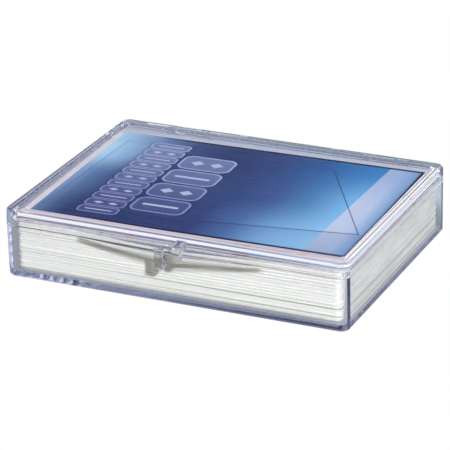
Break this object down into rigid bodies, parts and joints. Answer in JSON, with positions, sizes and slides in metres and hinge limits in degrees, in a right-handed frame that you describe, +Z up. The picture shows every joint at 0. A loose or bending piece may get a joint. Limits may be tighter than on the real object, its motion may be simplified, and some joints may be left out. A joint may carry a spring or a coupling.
{
  "type": "card deck box",
  "caption": "Clear plastic box with a lid on pin hinges and offset pry tabs on V-shaped thumb lips, holding a squared deck of cards.",
  "frame": {"origin": "middle of the underside, between the left and right walls and the front and back walls", "axes": "+X to the right along the front, front faces -Y, +Z up through the lid"},
  "size_m": [0.0936, 0.0762, 0.0186],
  "materials": {
    "clear_plastic": "crystal-clear moulded polystyrene, polished",
    "card_stock": "white coated card, matt cut edges",
    "printed_card": "printed card, gloss coated, blue abstract print with a pale border"
  },
  "bodies": {
    "tray": {"base_tray": "clear_plastic", "card_01": "card_stock", "card_02": "card_stock", "card_03": "card_stock", "card_04": "card_stock", "card_05": "card_stock", "card_06": "card_stock", "card_07": "card_stock", "card_08": "card_stock", "card_09": "card_stock", "card_10": "card_stock", "card_11": "card_stock", "card_12": "card_stock", "card_13": "card_stock", "card_14": "card_stock", "card_15": "card_stock", "card_16": "card_stock", "card_17": "card_stock", "card_18": "card_stock", "card_19": "card_stock", "card_20": "card_stock", "card_21": "card_stock", "card_22": "card_stock", "card_23": "card_stock", "card_24": "card_stock", "card_25": "card_stock", "card_26": "card_stock", "card_27": "card_stock", "card_28": "card_stock", "card_29": "card_stock", "card_30": "card_stock", "card_31": "card_stock", "card_32": "card_stock", "card_33": "card_stock", "card_34": "card_stock", "card_35": "printed_card"},
    "lid": {"lid": "clear_plastic"}
  },
  "joints": [
    {"name": "lid_hinge", "type": "hinge", "parent": "tray", "child": "lid", "pos_m": [0.0008, 0.0364, 0.0142], "axis": [-1, 0, 0], "range_deg": [0, 180]}
  ]
}
